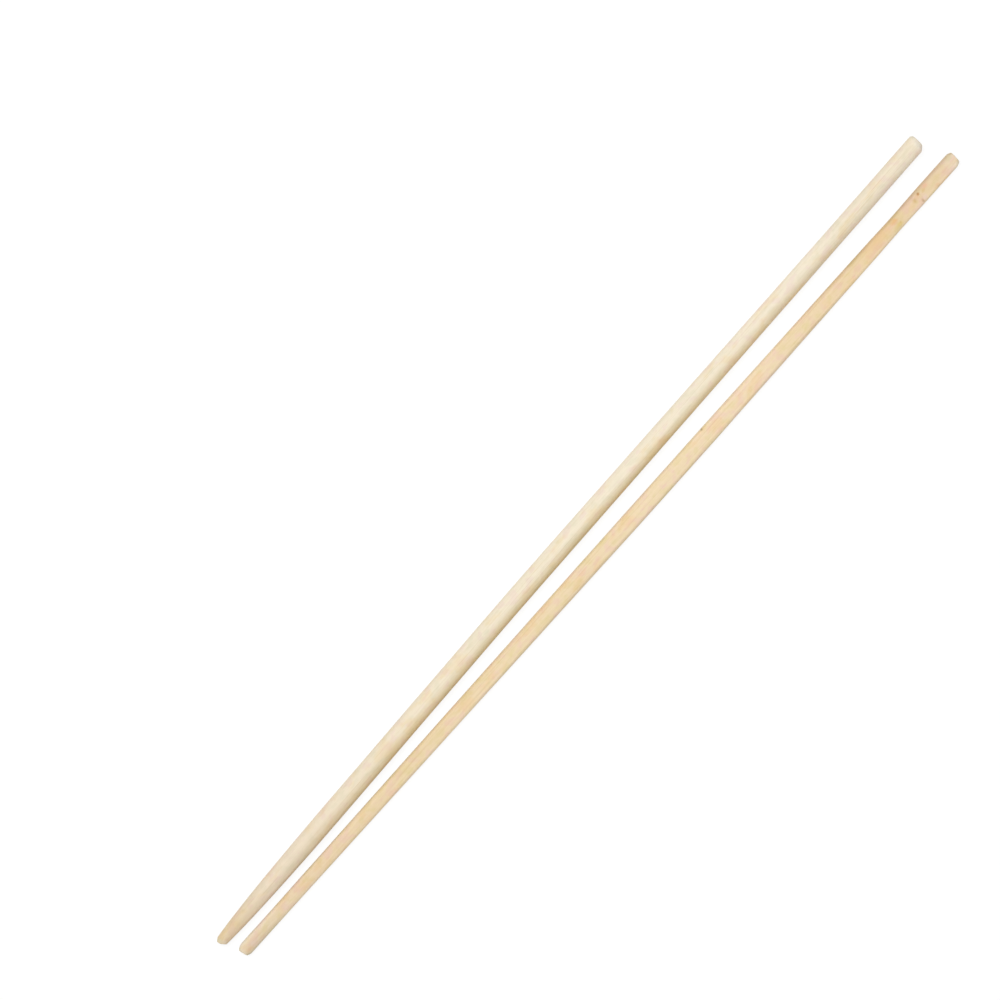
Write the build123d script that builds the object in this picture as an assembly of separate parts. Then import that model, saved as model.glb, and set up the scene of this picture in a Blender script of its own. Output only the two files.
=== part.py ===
from build123d import *
import math
import os

# A pair of disposable bamboo chopsticks, lying side by side on a table.
# +Y runs from the eating tips to the handle ends and +Z is up. The origin is on the table,
# under the middle of the pair. Sizes are in millimetres and angles in degrees.

# How the two sticks lie
tip_spacing = 5.0  # between the centres of the two tips
handle_spacing = 8.2  # between the centres of the two handle ends
right_tip_lead = 1.6  # how much further up the table the right tip starts

# Left stick: turned round, with a pencil-like taper at the tip and a bevelled handle rim. The
# right half of the tip is pared back, and the handle end is sawn a little askew.
left_length = 229.4
left_tip_diameter = 2.4
left_shank_diameter = 4.56
left_handle_diameter = 4.15
left_taper_length = 40.0
left_taper_corner = 11.0  # where the tip's steep side would meet the shank's straight one
left_bend_start = 86.0
left_bend_length = 26.0
left_bend = 0.69  # the shank is warped by this turn to the right, so its middle lies left
left_handle_length = 28.0  # the even stretch at the handle end
left_rim_length = 0.8
left_rim_depth = 0.5
left_tip_slant = 34.0
left_handle_slant = 3.0

# Right stick: turned from a strip that is thinner than the stick is wide. It has a rounded nose,
# and both ends are sawn a little askew.
right_length = 230.6
right_tip_diameter = 3.14
right_shank_diameter = 4.1
right_handle_diameter = 3.55
right_nose_length = 1.8
right_nose_corner = 0.7  # where the nose's blunt end would meet the straight side
right_nose_depth = 0.7
right_tip_length = 12.0  # the even stretch at the tip, its nose included
right_bend_start = 125.0  # the stick is full at this length from the tip
right_bend_length = 25.0
right_bend = -0.245  # warped the other way
right_handle_length = 23.5
right_rim_length = 1.1
right_rim_depth = 0.55
right_tip_slant = 11.0
right_handle_slant = 5.0

# The bamboo strip that the right stick is turned from. Its two faces are left as flats.
strip_below_axis = 1.7  # from the turning axis down to the strip's lower face
strip_tip_thickness = 2.8
strip_middle_thickness = 3.12
strip_handle_thickness = 2.92

# The bamboo's node, on the right stick's upper flat: a low swell, and beside it the scar of
# the leaf sheath with the small pit of a bud
swell_from_handle = 20.6
swell_length = 5.6
swell_height = 0.14
scar_from_handle = 12.2
scar_length = 2.2
scar_height = 0.12
bud_from_handle = 11.5
bud_left_of_middle = 0.7
bud_radius = 0.4
bud_depth = 0.16


def turned(*outline):
    """Spins an outline about the Y axis. It is drawn on the right, from the tip backwards."""
    side = Wire([edge for line in outline for edge in line.edges()])
    to_axis = Polyline(side @ 1, (0, (side @ 1).Y), (0, (side @ 0).Y), side @ 0)
    return revolve(make_face([*side.edges(), *to_axis.edges()]), Axis.Y)


def sawn_tip(front, across, slant):
    """Cuts the tip at a slant, from a place across it backwards to its right side."""
    return front - Location((across, 0, 0), (0, 0, slant)) * waste_block(front, Align.MAX)


def sawn_handle(back, across, slant):
    """Cuts the handle end at a slant, from a place across it forwards to its right side."""
    end = back.bounding_box().max.Y
    return back - Location((across, end, 0), (0, 0, -slant)) * waste_block(back, Align.MIN)


def waste_block(stretch, outward):
    """What a saw cut at the origin takes away: a block larger than the stretch."""
    size = stretch.bounding_box().size.Y
    return Box(size, size, size, align=(Align.CENTER, outward, Align.CENTER))


def back_stretch(length, shank_diameter, handle_diameter, handle_length, rim_length, rim_depth):
    """From the end of the bend, at the origin: it thins to the even handle and its rim."""
    handle_radius = handle_diameter / 2
    outline = Polyline(
        (shank_diameter / 2, 0),
        (handle_radius, length - handle_length),
        (handle_radius, length - rim_length),
        (handle_radius - rim_depth, length),
    )
    return turned(outline)


def warped(front, shank_diameter, bend_length, bend, back):
    """Joins front and back by a bend, and lays the middle of the handle end on Y."""
    bend_start = (0, front.bounding_box().max.Y)
    arc = JernArc(bend_start, (0, 1), bend_length / math.radians(abs(bend)), -bend)
    across = Plane(origin=arc @ 0, x_dir=(0, 0, -1), z_dir=arc % 0)
    shank = sweep(across * Circle(shank_diameter / 2), arc)
    stick = front + shank + Location(arc @ 1, (0, 0, -bend)) * back
    handle_end = arc @ 1 + (arc % 1) * back.bounding_box().max.Y
    swing = math.degrees(math.atan2(handle_end.X, handle_end.Y))
    return Location((0, 0, 0), (0, 0, swing)) * stick


def left_stick():
    """The round stick, from its tip at the origin to its handle end on the Y axis."""
    tip_radius = left_tip_diameter / 2
    shank_radius = left_shank_diameter / 2
    taper = Bezier(
        (tip_radius, 0), (shank_radius, left_taper_corner), (shank_radius, left_taper_length)
    )
    shank = Line(taper @ 1, (shank_radius, left_bend_start))
    back = back_stretch(
        left_length - left_bend_start - left_bend_length,
        left_shank_diameter,
        left_handle_diameter,
        left_handle_length,
        left_rim_length,
        left_rim_depth,
    )
    rim_radius = left_handle_diameter / 2 - left_rim_depth
    front = sawn_tip(turned(taper, shank), across=0, slant=left_tip_slant)
    back = sawn_handle(back, across=-rim_radius, slant=left_handle_slant)
    return warped(front, left_shank_diameter, left_bend_length, left_bend, back)


def strip_top():
    """The strip's upper edge seen from the side, from just before the tip to past the handle."""
    spare = right_shank_diameter
    middle = right_bend_start + right_bend_length / 2
    return Spline(
        (0, -spare, strip_tip_thickness - strip_below_axis),
        (0, middle, strip_middle_thickness - strip_below_axis),
        (0, right_length + spare, strip_handle_thickness - strip_below_axis),
    )


def on_strip_top(from_handle):
    """The place on the strip's upper edge that far from the handle end."""
    top = strip_top()
    return top.position_at(top.length - right_shank_diameter - from_handle, PositionMode.LENGTH)


def across_strip(outline):
    """A side view's outline made into a solid wider than the stick."""
    width = 2 * right_shank_diameter
    return extrude(Location((-width / 2, 0, 0)) * make_face(outline), width, dir=(1, 0, 0))


def ridge(from_handle, length, height):
    """A low rounded ridge across the strip's upper face."""
    crest = on_strip_top(from_handle) + (0, 0, height)
    foot_drop = 4 * height  # the arc's ends lie twice as far out as the ridge's own edges
    arc = ThreePointArc(crest - (0, length, foot_drop), crest, crest + (0, length, -foot_drop))
    return across_strip([arc, Line(arc @ 1, arc @ 0)])


def bud_pit():
    """The ball that leaves the bud's shallow pit."""
    ball_radius = (bud_radius**2 + bud_depth**2) / (2 * bud_depth)
    rise = scar_height + ball_radius - bud_depth
    place = on_strip_top(bud_from_handle) + (-bud_left_of_middle, 0, rise)
    return Location(place) * Sphere(ball_radius)


def bamboo_strip():
    """The strip before turning: a flat underside, and the node's two ridges on top."""
    top = strip_top()
    low_handle = (0, (top @ 1).Y, -strip_below_axis)
    low_tip = (0, (top @ 0).Y, -strip_below_axis)
    strip = across_strip([top, Polyline(top @ 1, low_handle, low_tip, top @ 0)])
    strip += ridge(swell_from_handle, swell_length, swell_height)
    strip += ridge(scar_from_handle, scar_length, scar_height)
    return strip - bud_pit()


def right_stick():
    """The stick with two flats, from its tip at the origin to its handle end on the Y axis."""
    tip_radius = right_tip_diameter / 2
    nose_radius = tip_radius - right_nose_depth
    nose = Bezier(
        (nose_radius, 0), (tip_radius, right_nose_corner), (tip_radius, right_nose_length)
    )
    taper = Polyline(
        nose @ 1, (tip_radius, right_tip_length), (right_shank_diameter / 2, right_bend_start)
    )
    back = back_stretch(
        right_length - right_bend_start - right_bend_length,
        right_shank_diameter,
        right_handle_diameter,
        right_handle_length,
        right_rim_length,
        right_rim_depth,
    )
    rim_radius = right_handle_diameter / 2 - right_rim_depth
    front = sawn_tip(turned(nose, taper), across=-nose_radius, slant=right_tip_slant)
    back = sawn_handle(back, across=-rim_radius, slant=right_handle_slant)
    stick = warped(front, right_shank_diameter, right_bend_length, right_bend, back)
    return stick & bamboo_strip()


def laid_out(stick, tip_place, axis_height, lean):
    """A stick laid on the table with its tip in place, turned by its lean."""
    return Location((*tip_place, axis_height), (0, 0, lean)) * stick


spread = (handle_spacing - tip_spacing) / 2
lean = math.degrees(math.asin(spread / left_length))
left = laid_out(left_stick(), (-tip_spacing / 2, 0), left_shank_diameter / 2, lean)
right = laid_out(right_stick(), (tip_spacing / 2, right_tip_lead), strip_below_axis, -lean)

pair_middle = Compound([left, right]).bounding_box().center()
to_origin = Location((-pair_middle.X, -pair_middle.Y, 0))

os.makedirs("parts", exist_ok=True)
export_step(to_origin * left, "parts/left_chopstick.step")
export_step(to_origin * right, "parts/right_chopstick.step")
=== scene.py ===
import math

import bpy
import numpy as np
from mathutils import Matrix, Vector


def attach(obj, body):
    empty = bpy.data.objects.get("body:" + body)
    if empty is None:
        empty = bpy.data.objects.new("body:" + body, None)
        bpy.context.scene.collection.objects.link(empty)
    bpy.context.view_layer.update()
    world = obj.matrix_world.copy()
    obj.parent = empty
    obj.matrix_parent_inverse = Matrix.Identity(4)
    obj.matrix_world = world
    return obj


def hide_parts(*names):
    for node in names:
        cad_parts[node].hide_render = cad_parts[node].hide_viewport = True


# A pair of bamboo chopsticks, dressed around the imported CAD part. Each stick is a dense mesh
# that follows its CAD solid, with the fibres, sawn ends and node marks of real bamboo. The
# sticks are worked out in millimetres and degrees, and the studio around them in metres.

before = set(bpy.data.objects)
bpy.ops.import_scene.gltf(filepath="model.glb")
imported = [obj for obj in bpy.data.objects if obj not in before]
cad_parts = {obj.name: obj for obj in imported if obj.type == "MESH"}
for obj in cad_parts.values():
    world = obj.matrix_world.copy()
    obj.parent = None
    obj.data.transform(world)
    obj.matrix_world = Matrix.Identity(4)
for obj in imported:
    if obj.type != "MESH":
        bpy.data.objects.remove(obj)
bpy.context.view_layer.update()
rng = np.random.default_rng(7)

MM = 0.001

# How the two sticks lie, measured from midway between the tips, level with the left one
TIP_SPACING, HANDLE_SPACING = 5.0, 8.2
RIGHT_TIP_LEAD = 1.6
PAIR_MIDDLE = (-0.1475, 116.0910)  # the middle of the pair's box, which is the frame's origin

# Left stick: a pencil-like taper, its tip pared back on the right
LEFT_LENGTH = 229.4
LEFT_TIP, LEFT_SHANK, LEFT_HANDLE = 1.2, 2.28, 2.075  # radii
LEFT_TAPER_CORNER, LEFT_TAPER_LENGTH = 11.0, 40.0
LEFT_BEND_START, LEFT_BEND_LENGTH, LEFT_BEND = 86.0, 26.0, 0.69
LEFT_HANDLE_LENGTH = 28.0
LEFT_END = LEFT_HANDLE - 0.5  # the end face's radius, inside the rim
LEFT_TIP_SLANT, LEFT_HANDLE_SLANT = 34.0, 3.0
LEFT_WORN_FROM, LEFT_WORN_SLANT = 0.72, 56.0  # the tip's left corner, from this far out

# Right stick: a rounded nose, and the bamboo strip's flats above and below
RIGHT_LENGTH = 230.6
RIGHT_NOSE, RIGHT_TIP, RIGHT_SHANK, RIGHT_HANDLE = 0.87, 1.57, 2.05, 1.775  # radii
RIGHT_NOSE_CORNER, RIGHT_NOSE_LENGTH = 0.7, 1.8
RIGHT_TIP_LENGTH = 12.0
RIGHT_BEND_START, RIGHT_BEND_LENGTH, RIGHT_BEND = 125.0, 25.0, -0.245
RIGHT_HANDLE_LENGTH = 23.5
RIGHT_END = RIGHT_HANDLE - 0.55
RIGHT_TIP_SLANT, RIGHT_HANDLE_SLANT = 11.0, 5.0
STRIP_BELOW = 1.7  # from the stick's axis down to the strip's lower face
STRIP_TIP, STRIP_MIDDLE, STRIP_HANDLE = 2.8, 3.12, 2.92  # thicknesses
STRIP_SPARE = 2 * RIGHT_SHANK  # how far the strip reached past each end of the stick
STRIP_CROWN = 0.05  # how much lower the upper flat is 1 mm from its middle
STRIP_TOP_EDGE, STRIP_LOW_EDGE = 0.28, 0.10  # how wide the flats' edges are rounded
STRIP_RELIEF = 0.25  # how much of the sides' unevenness the upper flat has

# The node on the right stick: places along it, half lengths and heights
SWELL, SWELL_HALF, SWELL_HEIGHT = RIGHT_LENGTH - 20.6, 2.8, 0.14
SCAR, SCAR_HALF, SCAR_HEIGHT = RIGHT_LENGTH - 12.2, 1.1, 0.12
BUD, BUD_RADIUS, BUD_DEPTH = (-0.7, RIGHT_LENGTH - 11.5), 0.4, 0.16
WAIST, WAIST_HALF, WAIST_DEPTH = SCAR - 6.5, 8.5, 0.08  # a little slimmer before the node

# What is true of both meshes
PATH_POINTS = 2301
AROUND = 96  # points in a ring
EVEN_STEP, CLOSEST = 0.31, 0.02  # between rings
END_RINGS = np.array([0.0, 0.1, 0.22, 0.36, 0.5, 0.64, 0.78, 0.9])  # sizes across an end face
EDGE_ROUND = 0.13
RIM_CURVE = 1.3  # 1 is a flat bevel, more is a rounded one
SLANT_REACH = 3.0  # how far from an end the rings lean with its cut
SAW_ROUGHNESS = 0.035
GROOVES = 70
WAVES, WAVE_DEPTH = 14, 0.0022


def smooth_min(a, b, width):
    """The lesser of two values, rounded over this width where they cross."""
    h = np.clip(0.5 + 0.5 * (b - a) / width, 0, 1)
    return b * (1 - h) + a * h - width * h * (1 - h)


def smooth_max(a, b, width):
    return -smooth_min(-a, -b, width)


def hump(d, half):
    """A smooth low hump, 1 at d = 0 and 0 beyond half."""
    t = np.clip(1 - (d / half) ** 2, 0, 1)
    return t * t


def bezier(start, corner, end, count=200):
    t = np.linspace(0, 1, count)
    return start * (1 - t) ** 2 + 2 * corner * t * (1 - t) + end * t * t


def slanted(x, start, slant):
    """How far back from the end a slanted cut is at x across, if it begins at start."""
    return (x - start) * math.tan(math.radians(slant))


class Stick:
    """One stick's path on the table: straight, then one slight bend, then straight."""

    def __init__(self, length, bend_start, bend_length, bend, tip_place, axis_height, lean):
        self.length = length
        self.axis_height = axis_height
        self.lean = lean
        self.tip = (tip_place[0] - PAIR_MIDDLE[0], tip_place[1] - PAIR_MIDDLE[1])
        s = np.linspace(0, length, PATH_POINTS)
        turned = np.clip((s - bend_start) / bend_length, 0, 1) * math.radians(bend)
        heading = turned - turned.mean()
        halfway = (heading[1:] + heading[:-1]) / 2
        self.s = s
        self.x = np.concatenate([[0], np.cumsum(np.sin(halfway)) * s[1]])
        self.y = np.concatenate([[0], np.cumsum(np.cos(halfway)) * s[1]])

    def place(self, across, along, up):
        """Points given across the stick, along it and above its axis, in the scene's frame."""
        x = across + np.interp(along, self.s, self.x)
        y = np.interp(along, self.s, self.y)
        cos, sin = math.cos(self.lean), math.sin(self.lean)
        points = [
            x * cos - y * sin + self.tip[0],
            x * sin + y * cos + self.tip[1],
            up + self.axis_height,
        ]
        return np.stack(points, axis=-1) * MM


def left_radius(s):
    handle_start = LEFT_LENGTH - LEFT_HANDLE_LENGTH
    taper = bezier(0, LEFT_TAPER_CORNER, LEFT_TAPER_LENGTH)
    places = [*taper, LEFT_BEND_START + LEFT_BEND_LENGTH, handle_start]
    radii = [*bezier(LEFT_TIP, LEFT_SHANK, LEFT_SHANK), LEFT_SHANK, LEFT_HANDLE]
    return np.interp(s, places, radii)


def left_tip_cut(x):
    """Pared back on the right, and a little worn at the left corner."""
    pared = smooth_max(np.zeros_like(x), slanted(x, 0, LEFT_TIP_SLANT), width=0.3)
    return smooth_max(pared, slanted(-x, LEFT_WORN_FROM, LEFT_WORN_SLANT), width=0.25)


def left_handle_cut(x):
    return np.maximum(0, slanted(x, -LEFT_END, LEFT_HANDLE_SLANT))


def right_radius(s):
    handle_start = RIGHT_LENGTH - RIGHT_HANDLE_LENGTH
    bend_end = RIGHT_BEND_START + RIGHT_BEND_LENGTH
    nose = bezier(0, RIGHT_NOSE_CORNER, RIGHT_NOSE_LENGTH)
    places = [*nose, RIGHT_TIP_LENGTH, RIGHT_BEND_START, bend_end, handle_start]
    nose_radii = bezier(RIGHT_NOSE, RIGHT_TIP, RIGHT_TIP)
    radii = [*nose_radii, RIGHT_TIP, RIGHT_SHANK, RIGHT_SHANK, RIGHT_HANDLE]
    return np.interp(s, places, radii) - WAIST_DEPTH * hump(s - WAIST, WAIST_HALF)


def right_tip_cut(x):
    return smooth_max(np.zeros_like(x), slanted(x, -RIGHT_NOSE, RIGHT_TIP_SLANT), width=0.1)


def right_handle_cut(x):
    return np.maximum(0, slanted(x, -RIGHT_END, RIGHT_HANDLE_SLANT))


def strip_top(x, s):
    """The height of the right stick's upper flat above its axis, with the node on it."""
    middle = RIGHT_BEND_START + RIGHT_BEND_LENGTH / 2
    places = [-STRIP_SPARE, middle, RIGHT_LENGTH + STRIP_SPARE]
    bow = np.polyfit(places, [STRIP_TIP, STRIP_MIDDLE, STRIP_HANDLE], 2)
    top = np.polyval(bow, s) - STRIP_BELOW - STRIP_CROWN * x * x
    # the node's ridges don't run quite straight across
    wavy = 0.25 * np.sin(1.9 * x + 0.4) + 0.12 * np.sin(4.3 * x + 2.0)
    top = top + SWELL_HEIGHT * hump(s - SWELL - wavy, SWELL_HALF)
    top = top + SCAR_HEIGHT * hump(s - SCAR - 0.5 * wavy, SCAR_HALF)
    from_bud = np.hypot(x - BUD[0], s - BUD[1])
    return top - BUD_DEPTH * hump(from_bud, BUD_RADIUS)


def relief(s, theta, radius, groove_depth):
    """Shallow grooves between the fibres and a slow unevenness of the turning, in mm."""
    sunk = np.zeros(np.broadcast(s, theta).shape)
    for _ in range(GROOVES):
        middle = rng.uniform(0, s.max())
        half = rng.uniform(6, 45)
        angle = rng.uniform(-math.pi, math.pi)
        drift = rng.uniform(-0.002, 0.002)
        width = rng.uniform(0.10, 0.28)
        deep = groove_depth * rng.uniform(0.3, 1.0)
        off = np.angle(np.exp(1j * (theta - angle - drift * (s - middle)))) * radius
        sunk += deep * np.exp(-((off / width) ** 2)) * hump(s - middle, half)
    for _ in range(WAVES):
        period = rng.uniform(9, 40)
        phase, turn = rng.uniform(0, 2 * math.pi, 2)
        wave = np.sin(2 * math.pi * s / period + phase) * np.cos(theta - turn)
        sunk += WAVE_DEPTH * (1 + wave)
    return sunk


def ring_places(length, fine_spots):
    """Places of the rings along a stick: even ones, and closer ones around its fine spots."""
    places = [np.arange(0, length, EVEN_STEP), [length]]
    for centre, reach, step in fine_spots:
        places.append(np.arange(centre - reach, centre + reach, step))
    s = np.unique(np.round(np.clip(np.concatenate(places), 0, length), 3))
    keep = np.concatenate([[True], np.diff(s) > CLOSEST])
    keep[-2:] = False, True  # a ring at the very end, and none right before it
    return s[keep]


def closed_mesh(name, rings):
    """A mesh through rings of points, the first and last of which have shrunk to a point."""
    rows, cols = rings.shape[:2]
    used = np.ones((rows, cols), bool)
    used[0, 1:] = used[-1, 1:] = False
    index = (np.cumsum(used) - 1).reshape(rows, cols)
    here, there = index[1:-2], index[2:-1]
    quads = np.stack([here, there, np.roll(there, -1, 1), np.roll(here, -1, 1)], -1)
    faces = quads.reshape(-1, 4).tolist()
    first, last = index[1], index[-2]
    tip, handle = np.full_like(first, index[0, 0]), np.full_like(last, index[-1, 0])
    faces += np.stack([tip, first, np.roll(first, -1)], -1).tolist()
    faces += np.stack([handle, np.roll(last, -1), last], -1).tolist()
    mesh = bpy.data.meshes.new(name)
    mesh.from_pydata(rings[used].tolist(), [], faces)
    mesh.validate()
    mesh.shade_smooth()
    made = bpy.data.objects.new(name, mesh)
    bpy.context.scene.collection.objects.link(made)
    return made


def stick_mesh(
    name, stick, radius_of, rim_length, rim_depth, tip_cut, handle_cut, groove_depth, fine_spots,
    flats=False,
):
    """Rings round the stick, closed by rings across its two end faces. The rim's length and
    depth are each given as a mean and what wear adds on the right."""
    s_side = ring_places(stick.length, fine_spots)
    ends = np.zeros(len(END_RINGS))
    s = np.concatenate([ends, s_side, ends + stick.length])[:, None]
    scale = np.concatenate([END_RINGS, np.ones(len(s_side)), END_RINGS[::-1]])[:, None]
    on_side = scale == 1
    theta = np.linspace(0, 2 * math.pi, AROUND, endpoint=False)[None, :]
    from_tip, from_handle = s, stick.length - s
    in_edge = np.clip(EDGE_ROUND - np.minimum(from_tip, from_handle), 0, EDGE_ROUND)
    rounding = EDGE_ROUND - np.sqrt(EDGE_ROUND**2 - in_edge**2)
    rim_length, rim_depth = (
        mean + wear * np.cos(theta) for mean, wear in (rim_length, rim_depth)
    )
    bevel = rim_depth * np.clip(1 - from_handle / rim_length, 0, 1) ** RIM_CURVE
    sunk = relief(s, theta, radius_of(s), groove_depth) * on_side
    sawn = rng.uniform(0, SAW_ROUGHNESS, sunk.shape) * ~on_side

    # a slanted cut moves the rings along, which changes their radius, so it is settled in turns
    along = np.repeat(s, AROUND, axis=1)
    for _ in range(4):
        x = (radius_of(along) - rounding - bevel - sunk) * scale * np.cos(theta)
        tip_shift = tip_cut(x) * np.clip(1 - from_tip / SLANT_REACH, 0, 1) ** 2
        handle_shift = handle_cut(x) * np.clip(1 - from_handle / SLANT_REACH, 0, 1) ** 2
        along = s + tip_shift - handle_shift
    reach = (radius_of(along) - rounding - bevel - sunk) * scale
    x, z = reach * np.cos(theta), reach * np.sin(theta)
    if flats:
        z = smooth_min(z, strip_top(x, along) - STRIP_RELIEF * sunk, STRIP_TOP_EDGE)
        z = smooth_max(z, np.full_like(z, -STRIP_BELOW), STRIP_LOW_EDGE)
    along = along + sawn * np.where(from_tip < 1, 1, -1)
    return closed_mesh(name, stick.place(x, along, z))


lean = math.asin((HANDLE_SPACING - TIP_SPACING) / 2 / LEFT_LENGTH)
left = Stick(
    LEFT_LENGTH, LEFT_BEND_START, LEFT_BEND_LENGTH, LEFT_BEND,
    tip_place=(-TIP_SPACING / 2, 0), axis_height=LEFT_SHANK, lean=lean,
)
right = Stick(
    RIGHT_LENGTH, RIGHT_BEND_START, RIGHT_BEND_LENGTH, RIGHT_BEND,
    tip_place=(TIP_SPACING / 2, RIGHT_TIP_LEAD), axis_height=STRIP_BELOW, lean=-lean,
)
left_stick = stick_mesh(
    "left_stick", left, left_radius,
    rim_length=(0.98, 0.37), rim_depth=(0.62, 0.22),
    tip_cut=left_tip_cut, handle_cut=left_handle_cut, groove_depth=0.016,
    fine_spots=[(0.0, 1.2, 0.06), (LEFT_LENGTH, 1.6, 0.06)],
)
right_stick = stick_mesh(
    "right_stick", right, right_radius,
    rim_length=(1.15, 0.15), rim_depth=(0.42, 0.0),
    tip_cut=right_tip_cut, handle_cut=right_handle_cut, groove_depth=0.020,
    fine_spots=[
        (0.0, 1.6, 0.06), (RIGHT_LENGTH, 1.8, 0.06), (SCAR, 1.8, 0.07), (SWELL, 3.2, 0.14),
    ],
    flats=True,
)


class Nodes:
    """Builds a node tree in few words."""

    def __init__(self, owner):
        owner.use_nodes = True
        self.tree = owner.node_tree
        self.tree.nodes.clear()

    def add(self, kind, **settings):
        node = self.tree.nodes.new(kind)
        for key, value in settings.items():
            setattr(node, key, value)
        return node

    def feed(self, socket, value):
        if isinstance(value, bpy.types.NodeSocket):
            self.tree.links.new(value, socket)
        else:
            socket.default_value = value

    def math(self, operation, a, b=0.0, clamp=False):
        node = self.add("ShaderNodeMath", operation=operation, use_clamp=clamp)
        self.feed(node.inputs[0], a)
        self.feed(node.inputs[1], b)
        return node.outputs[0]

    def vector(self, operation, a, b=(0.0, 0.0, 0.0)):
        node = self.add("ShaderNodeVectorMath", operation=operation)
        self.feed(node.inputs[0], a)
        self.feed(node.inputs[1], b)
        return node.outputs["Value" if operation == "LENGTH" else "Vector"]

    def mix(self, factor, a, b, blend="MIX"):
        node = self.add("ShaderNodeMix", data_type="RGBA", blend_type=blend)
        self.feed(node.inputs["Factor"], factor)
        self.feed(node.inputs[6], a)
        self.feed(node.inputs[7], b)
        return node.outputs[2]

    def tint(self, factor, colour, by):
        """Multiplies a colour by three factors, as far as the first value says."""
        return self.mix(factor, colour, (*by, 1.0), "MULTIPLY")

    def fade(self, value, start, end, low=0.0, high=1.0):
        """Goes smoothly from low at start to high at end."""
        node = self.add("ShaderNodeMapRange", interpolation_type="SMOOTHSTEP")
        for socket, given in zip(node.inputs[:5], (value, start, end, low, high)):
            self.feed(socket, given)
        return node.outputs[0]

    def noise(self, vector, scale=1.0, detail=2.0, roughness=0.5):
        node = self.add("ShaderNodeTexNoise")
        self.feed(node.inputs["Vector"], vector)
        self.feed(node.inputs["Scale"], scale)
        self.feed(node.inputs["Detail"], detail)
        self.feed(node.inputs["Roughness"], roughness)
        return node.outputs[0]

    def cells(self, vector):
        """The distance to the nearest of many scattered points, about 1 apart."""
        node = self.add("ShaderNodeTexVoronoi", feature="F1")
        self.feed(node.inputs["Vector"], vector)
        self.feed(node.inputs["Scale"], 1.0)
        return node.outputs["Distance"]

    def ramp(self, factor, stops):
        node = self.add("ShaderNodeValToRGB")
        elements = node.color_ramp.elements
        while len(elements) < len(stops):
            elements.new(1.0)
        for element, (position, colour) in zip(elements, stops):
            element.position = position
            element.color = colour
        self.feed(node.inputs[0], factor)
        return node.outputs[0]

    def is_ray(self, *kinds):
        """1 for a ray of one of these kinds, 0 for any other."""
        path = self.add("ShaderNodeLightPath")
        found = 0.0
        for kind in kinds:
            found = self.math("MAXIMUM", found, path.outputs[f"Is {kind} Ray"])
        return found

    def pick(self, factor, first, second):
        """The first shader where the factor is 0, the second where it is 1."""
        node = self.add("ShaderNodeMixShader")
        for socket, given in zip(node.inputs, (factor, first, second)):
            self.feed(socket, given)
        return node.outputs[0]


def rgb(red, green, blue):
    """The linear colour that a screen shows as these values from 0 to 255."""
    return tuple(
        c / 12.92 if c <= 0.04045 else ((c + 0.055) / 1.055) ** 2.4
        for c in (red / 255, green / 255, blue / 255)
    ) + (1.0,)


THREAD = rgb(190, 156, 108)
END_GRAIN, END_PORE = rgb(238, 217, 180), rgb(140, 100, 58)
MARK_HEIGHT, MARK_DEPTH = 1.2, 3.0  # a mark is on top, and soaks well into the wood


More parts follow.
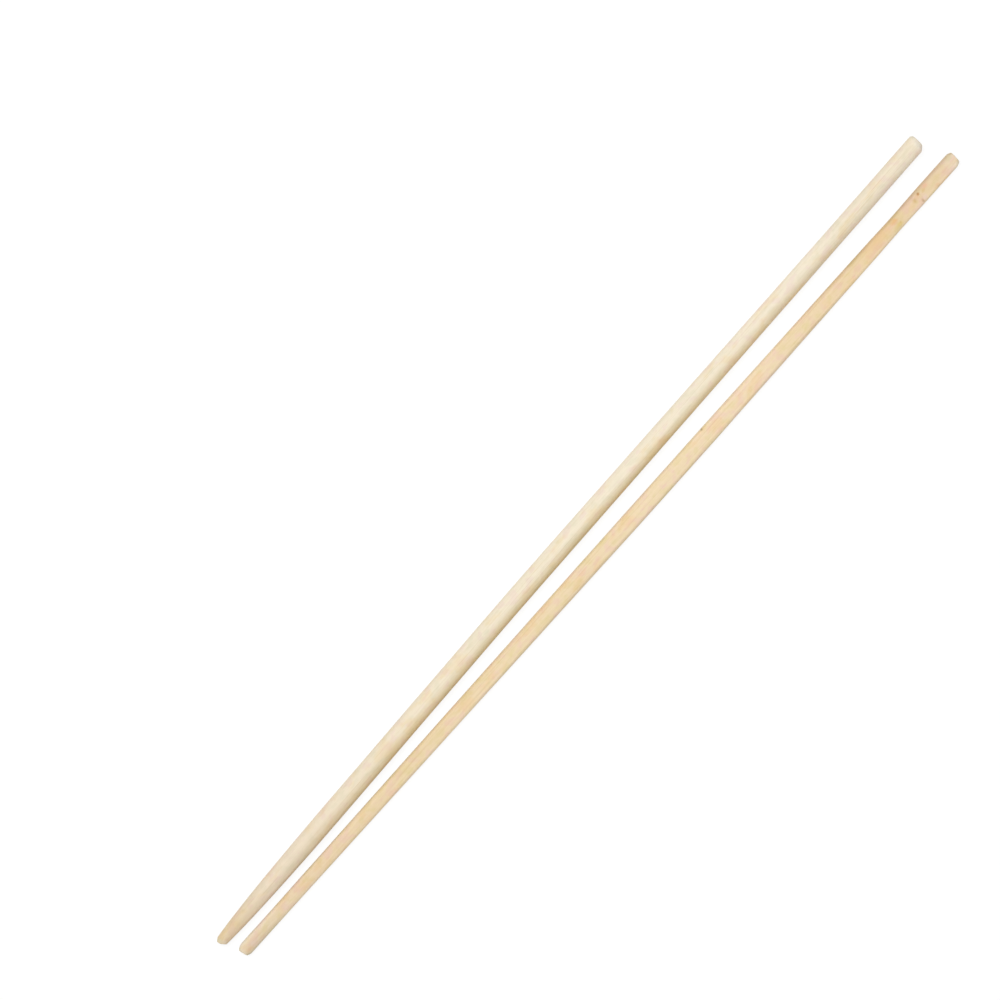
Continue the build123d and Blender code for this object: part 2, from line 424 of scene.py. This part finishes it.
def bamboo(name, stick, seed, stops, side_wood_and_painted_light, blotches, fibre, marks):
    """Bamboo as a solid texture: its fibre bundles run the length of the stick and show as
    streaks on its flanks and as dots on its ends.

    stops: the tone at shares of the length
    side_wood_and_painted_light: painted shade and painted light on the flanks, partly also the
        wood's own tone: a tint, the places across the stick where it starts and is full, and how
        strong it is at shares of the length
    blotches: the tints of the warm, cool and pink patches
    fibre: the tint of the darker streaks
    marks: a stain's place across and along the stick, its half sizes, colour and strength
    """
    material = bpy.data.materials.new(name)
    n = Nodes(material)
    # millimetres from the tip, along the stick's own lean
    local = n.add("ShaderNodeMapping", vector_type="TEXTURE")
    tip = Vector((*stick.tip, stick.axis_height))
    n.feed(local.inputs["Location"], tip * MM)
    n.feed(local.inputs["Rotation"], (0, 0, stick.lean))
    n.feed(local.inputs["Scale"], (MM, MM, MM))
    n.feed(local.inputs["Vector"], n.add("ShaderNodeTexCoord").outputs["Object"])
    p = local.outputs[0]
    parts = n.add("ShaderNodeSeparateXYZ")
    n.feed(parts.inputs[0], p)
    x, y, z = parts.outputs
    length_share = n.math("DIVIDE", y, stick.length)

    # slow tone along the stick, and painted shade and painted light on its flanks, partly with
    # the wood's own tone
    colour = n.ramp(length_share, stops)
    for tint, start, full, shares in side_wood_and_painted_light:
        amount = n.ramp(length_share, [(at, (v, v, v, 1.0)) for at, v in shares])
        colour = n.tint(n.math("MULTIPLY", n.fade(x, start, full), amount), colour, tint)

    # cloudy patches: long ones, and others a few millimetres long
    warm, cool, pink = blotches
    wide = n.vector("MULTIPLY", p, (0.16, 0.07, 0.16))
    blotch = n.noise(n.vector("ADD", wide, (3.1, seed, 7.7)), 2.2, 3.0, 0.6)
    colour = n.tint(n.fade(blotch, 0.50, 0.66, 0.0, 0.70), colour, warm)
    colour = n.tint(n.fade(blotch, 0.48, 0.32, 0.0, 0.60), colour, cool)
    patch = n.noise(n.vector("MULTIPLY", p, (0.60, 0.35, 0.60)))
    colour = n.tint(n.fade(patch, 0.51, 0.66, 0.0, 0.75), colour, pink)
    colour = n.tint(n.fade(patch, 0.47, 0.32, 0.0, 0.65), colour, cool)

    # fibres: fine streaks many times longer than wide, which wander a little
    drift = n.noise(n.vector("MULTIPLY", p, (0.05, 0.012, 0.05)), detail=1.0)
    bent = n.add("ShaderNodeCombineXYZ")
    n.feed(bent.inputs[0], n.math("ADD", x, n.math("MULTIPLY", drift, 1.2)))
    n.feed(bent.inputs[1], y)
    n.feed(bent.inputs[2], n.math("SUBTRACT", z, n.math("MULTIPLY", drift, 0.9)))
    q = bent.outputs[0]
    fine = n.noise(n.vector("MULTIPLY", q, (5.0, 0.07, 5.0)), detail=4.0, roughness=0.6)
    broad = n.noise(n.vector("MULTIPLY", q, (1.6, 0.02, 1.6)))
    streak = n.math("ADD", n.math("MULTIPLY", fine, 0.6), n.math("MULTIPLY", broad, 0.4))
    colour = n.tint(n.fade(streak, 0.51, 0.70, 0.0, 0.50), colour, fibre)
    colour = n.tint(n.fade(streak, 0.49, 0.34, 0.0, 0.9), colour, (1.05, 1.05, 1.06))

    # vascular bundles: thin dark threads, here and there
    threads = n.fade(n.cells(n.vector("MULTIPLY", q, (1.7, 0.006, 1.7))), 0.16, 0.05)
    broken = n.fade(n.noise(n.vector("MULTIPLY", q, (1.0, 0.09, 1.0))), 0.45, 0.62)
    thread = n.math("MULTIPLY", threads, broken, clamp=True)
    colour = n.mix(n.math("MULTIPLY", thread, 0.22), colour, THREAD)

    # sawn ends: darker end grain, with the bundles as brown dots
    normal = n.add("ShaderNodeSeparateXYZ")
    n.feed(normal.inputs[0], n.add("ShaderNodeNewGeometry").outputs["Normal"])
    end = n.fade(n.math("ABSOLUTE", normal.outputs[1]), 0.70, 0.92)
    pores = n.fade(n.cells(n.vector("MULTIPLY", q, (2.3, 0.006, 2.3))), 0.34, 0.14)
    grain = n.mix(n.math("MULTIPLY", pores, 0.7), END_GRAIN, END_PORE)
    colour = n.mix(n.math("MULTIPLY", end, 0.85), colour, grain)

    # marks: small stains with soft, uneven edges
    ragged = n.math("MULTIPLY", n.noise(n.vector("MULTIPLY", p, (1.5, 1.5, 1.5))), 0.9)
    for place, size, tone, strength in marks:
        off = n.vector("SUBTRACT", p, (*place, MARK_HEIGHT))
        off = n.vector("DIVIDE", off, (*size, MARK_DEPTH))
        away = n.math("ADD", n.vector("LENGTH", off), ragged)
        colour = n.mix(n.fade(away, 1.75, 0.55, 0.0, strength), colour, tone)

    shader = n.add("ShaderNodeBsdfPrincipled")
    n.feed(shader.inputs["Base Color"], colour)
    n.feed(shader.inputs["Roughness"], n.fade(streak, 0.3, 0.7, 0.52, 0.70))
    shader.inputs["Specular IOR Level"].default_value = 0.28
    bump = n.add("ShaderNodeBump")
    bump.inputs["Strength"].default_value = 0.5
    bump.inputs["Distance"].default_value = 0.02 * MM
    n.feed(bump.inputs["Height"], n.math("SUBTRACT", streak, n.math("MULTIPLY", thread, 0.5)))
    n.feed(shader.inputs["Normal"], bump.outputs[0])
    n.feed(n.add("ShaderNodeOutputMaterial").inputs[0], shader.outputs[0])
    return material


def near_handle(across, from_handle):
    """A mark's place on the right stick, given from its handle end."""
    return across, RIGHT_LENGTH - from_handle


pale_bamboo = bamboo(
    "pale_bamboo", left, seed=0.0,
    stops=[
        (0.0, rgb(231, 209, 171)), (0.025, rgb(232, 212, 177)), (0.07, rgb(241, 224, 199)),
        (0.2, rgb(245, 231, 205)), (0.45, rgb(250, 238, 213)), (0.85, rgb(250, 238, 215)),
        (0.992, rgb(250, 237, 212)), (1.0, rgb(255, 249, 236)),
    ],
    side_wood_and_painted_light=[
        # a tanner, darker right flank along the middle: partly the wood's own warmer tone,
        # partly painted shade on the side turned from the lamp
        ((0.835, 0.71, 0.42), -0.9, 2.6,
         [(0.0, 0.0), (0.06, 0.1), (0.2, 0.75), (0.4, 1.0), (0.62, 1.0), (0.74, 0.8),
          (0.88, 0.35), (0.97, 0.0)]),
        # painted shade: the left flank greyed near the handle end
        ((0.94, 0.93, 0.92), -0.4, -1.8, [(0.84, 0.0), (0.95, 1.0)]),
        # painted light: the right flank made paler toward the handle, where the lamp leaves it
        # in shade
        ((1.12, 1.14, 1.19), 0.9, 1.9, [(0.62, 0.0), (0.72, 0.9), (0.95, 1.0)]),
        # painted light: the right flank made paler near the tip, narrowing its shade
        ((1.09, 1.07, 1.09), 0.5, 1.2, [(0.0, 1.0), (0.06, 0.8), (0.11, 0.0)]),
    ],
    blotches=[(0.98, 0.92, 0.79), (0.925, 0.95, 0.93), (0.98, 0.915, 0.99)],
    fibre=(0.80, 0.73, 0.60),
    marks=[
        ((0.9, 144.5), (0.9, 1.6), rgb(232, 196, 142), 0.50),
        ((-0.3, 63.0), (0.5, 1.4), rgb(238, 214, 178), 0.50),
        ((0.4, 181.0), (0.6, 2.4), rgb(240, 222, 186), 0.50),
        ((-0.5, 0.5), (0.9, 0.6), rgb(220, 214, 186), 0.65),
        ((0.65, 0.95), (0.7, 0.5), rgb(240, 224, 202), 0.60),
    ],
)
tan_bamboo = bamboo(
    "tan_bamboo", right, seed=41.0,
    stops=[
        (0.0, rgb(244, 233, 211)), (0.007, rgb(240, 225, 196)), (0.08, rgb(238, 214, 178)),
        (0.22, rgb(242, 219, 179)), (0.5, rgb(246, 224, 186)), (0.72, rgb(248, 226, 190)),
        (0.88, rgb(244, 218, 176)), (0.984, rgb(241, 216, 179)), (1.0, rgb(244, 227, 202)),
    ],
    side_wood_and_painted_light=[
        # painted shade: the left flank greyed near the handle end, where the left stick shades
        # it
        ((0.82, 0.80, 0.81), -0.5, -1.5, [(0.78, 0.0), (0.87, 1.0)]),
        # painted shade: the right side darkened across the first few millimetres, as on a
        # rounder tip
        ((0.86, 0.84, 0.79), -1.1, 1.2, [(0.0, 0.6), (0.01, 1.0), (0.03, 0.9), (0.06, 0.0)]),
        # the left flank paler and whiter from the tip to past the middle: partly the paler cut
        # side of the strip, partly painted light
        ((1.05, 1.12, 1.25), -0.9, -1.5, [(0.0, 1.0), (0.2, 0.6), (0.3, 0.0)]),
        ((1.04, 1.10, 1.22), -1.2, -1.8, [(0.3, 0.0), (0.4, 1.0), (0.75, 1.0), (0.82, 0.0)]),
        # the right flank paler, most near both ends: partly the paler cut side of the strip,
        # partly painted light where the lamp leaves it in shade
        ((1.15, 1.18, 1.21), 0.75, 1.5,
         [(0.0, 0.3), (0.06, 0.9), (0.3, 0.8), (0.45, 0.2), (0.8, 0.2), (0.86, 1.0)]),
    ],
    blotches=[(0.99, 0.905, 0.80), (0.93, 0.95, 0.80), (0.99, 0.905, 1.05)],
    fibre=(0.82, 0.72, 0.57),
    marks=[
        (near_handle(-0.5, 24.5), (1.5, 5.5), rgb(241, 203, 148), 0.60),
        (near_handle(-0.56, 19.4), (0.8, 1.0), rgb(238, 184, 122), 0.65),
        (near_handle(0.75, 19.0), (0.6, 1.2), rgb(234, 206, 132), 0.60),
        (near_handle(0.6, 18.5), (0.25, 0.3), rgb(210, 172, 104), 0.35),
        (near_handle(-0.16, 13.05), (0.75, 0.6), rgb(216, 184, 114), 0.65),
        (near_handle(-0.8, 9.2), (0.6, 1.0), rgb(240, 186, 154), 0.70),
        (near_handle(-0.35, 10.2), (0.4, 0.6), rgb(224, 192, 126), 0.60),
        (near_handle(0.9, 10.85), (0.7, 0.7), rgb(244, 216, 202), 0.65),
        (near_handle(-0.5, 11.9), (0.9, 0.7), rgb(240, 200, 156), 0.60),
        (near_handle(1.15, 11.75), (0.55, 0.36), rgb(196, 160, 118), 0.65),
        (BUD, (0.42, 0.42), rgb(190, 136, 76), 0.85),
        (near_handle(1.2, 7.3), (0.5, 1.0), rgb(238, 196, 142), 0.50),
        (near_handle(-0.8, 1.4), (0.6, 1.1), rgb(226, 211, 172), 0.65),
        ((-0.4, 1.2), (0.9, 0.9), rgb(234, 203, 166), 0.45),
        ((0.7, 1.7), (0.7, 1.1), rgb(222, 188, 144), 0.50),
        ((-1.6, 150.2), (0.45, 0.35), rgb(150, 138, 104), 0.60),
    ],
)

for made, node, slot, material in (
    (left_stick, "left_chopstick", "pale_bamboo", pale_bamboo),
    (right_stick, "right_chopstick", "tan_bamboo", tan_bamboo),
):
    made.data.materials.append(material)
    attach(made, "root")
    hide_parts(node)

# Floor: plain and pale, and white to the camera but for the sticks' own soft shadow
FLOOR_HALF = 6.0  # metres
FLOOR_BOUNCE = 0.88  # how pale it is in the light that it throws back on the sticks
FLOOR_SHADE, FLOOR_GLOW = 0.16, 0.88  # as it is seen: the part that shadows darken, and the rest


def floor_material():
    material = bpy.data.materials.new("floor")
    n = Nodes(material)
    plain = n.add("ShaderNodeBsdfDiffuse")
    plain.inputs["Color"].default_value = (FLOOR_BOUNCE, FLOOR_BOUNCE, FLOOR_BOUNCE, 1)
    shaded = n.add("ShaderNodeBsdfDiffuse")
    shaded.inputs["Color"].default_value = (FLOOR_SHADE, FLOOR_SHADE, FLOOR_SHADE, 1)
    glow = n.add("ShaderNodeEmission")
    glow.inputs["Color"].default_value = (1, 1, 1, 1)
    glow.inputs["Strength"].default_value = FLOOR_GLOW
    shown = n.add("ShaderNodeAddShader")
    n.feed(shown.inputs[0], shaded.outputs[0])
    n.feed(shown.inputs[1], glow.outputs[0])
    seen = n.is_ray("Camera", "Glossy", "Transmission")
    picked = n.pick(seen, plain.outputs[0], shown.outputs[0])
    n.feed(n.add("ShaderNodeOutputMaterial").inputs[0], picked)
    return material


corners = [(x * FLOOR_HALF, y * FLOOR_HALF, 0) for x, y in ((-1, -1), (1, -1), (1, 1), (-1, 1))]
floor_mesh = bpy.data.meshes.new("floor")
floor_mesh.from_pydata(corners, [], [(0, 1, 2, 3)])
floor = bpy.data.objects.new("floor", floor_mesh)
floor.data.materials.append(floor_material())
bpy.context.scene.collection.objects.link(floor)

# World: even studio light, white to the camera
WORLD_LEVEL = 0.42
world = bpy.data.worlds.new("studio")
bpy.context.scene.world = world
n = Nodes(world)
light = n.add("ShaderNodeBackground")
light.inputs["Color"].default_value = (1.0, 0.985, 0.96, 1)
light.inputs["Strength"].default_value = WORLD_LEVEL
white = n.add("ShaderNodeBackground")
white.inputs["Color"].default_value = (1, 1, 1, 1)
white.inputs["Strength"].default_value = 1.0
picked = n.pick(n.is_ray("Camera", "Glossy"), light.outputs[0], white.outputs[0])
n.feed(n.add("ShaderNodeOutputWorld").inputs[0], picked)

# Key light: a large soft lamp, a little to the left of straight above
KEY_ANGLE = math.radians(15)
KEY_DISTANCE = 1.4
KEY_SIZE = 0.7
KEY_LEVEL = 0.56
lamp_data = bpy.data.lights.new("key", "AREA")
lamp_data.shape = "DISK"
lamp_data.size = KEY_SIZE
lamp_data.energy = KEY_LEVEL * (math.pi * KEY_DISTANCE) ** 2  # as bright from any distance
lamp = bpy.data.objects.new("key", lamp_data)
direction = Vector((-math.sin(KEY_ANGLE), 0.0, math.cos(KEY_ANGLE)))
lamp.location = direction * KEY_DISTANCE
lamp.rotation_euler = direction.to_track_quat("Z", "Y").to_euler()
bpy.context.scene.collection.objects.link(lamp)

# Camera: straight down through a long lens, framed and turned as in the photograph
CAMERA_HEIGHT = 2.0  # above the left stick's axis
FRAME_WIDTH = 215.542 * MM
FRAME_MIDDLE = (-20.337 * MM, -4.412 * MM)
FRAME_TURN = 41.451
SENSOR = 36.0
camera_data = bpy.data.cameras.new("camera")
camera_data.sensor_width = SENSOR
camera_data.sensor_fit = "HORIZONTAL"
camera_data.lens = SENSOR * CAMERA_HEIGHT / FRAME_WIDTH
camera_data.clip_start = 0.01
camera_data.clip_end = 50.0
camera = bpy.data.objects.new("camera", camera_data)
camera.location = (*FRAME_MIDDLE, CAMERA_HEIGHT + LEFT_SHANK * MM)
camera.rotation_euler = (0, 0, math.radians(FRAME_TURN))
bpy.context.scene.collection.objects.link(camera)
bpy.context.scene.camera = camera
bpy.context.scene.view_settings.view_transform = "Standard"
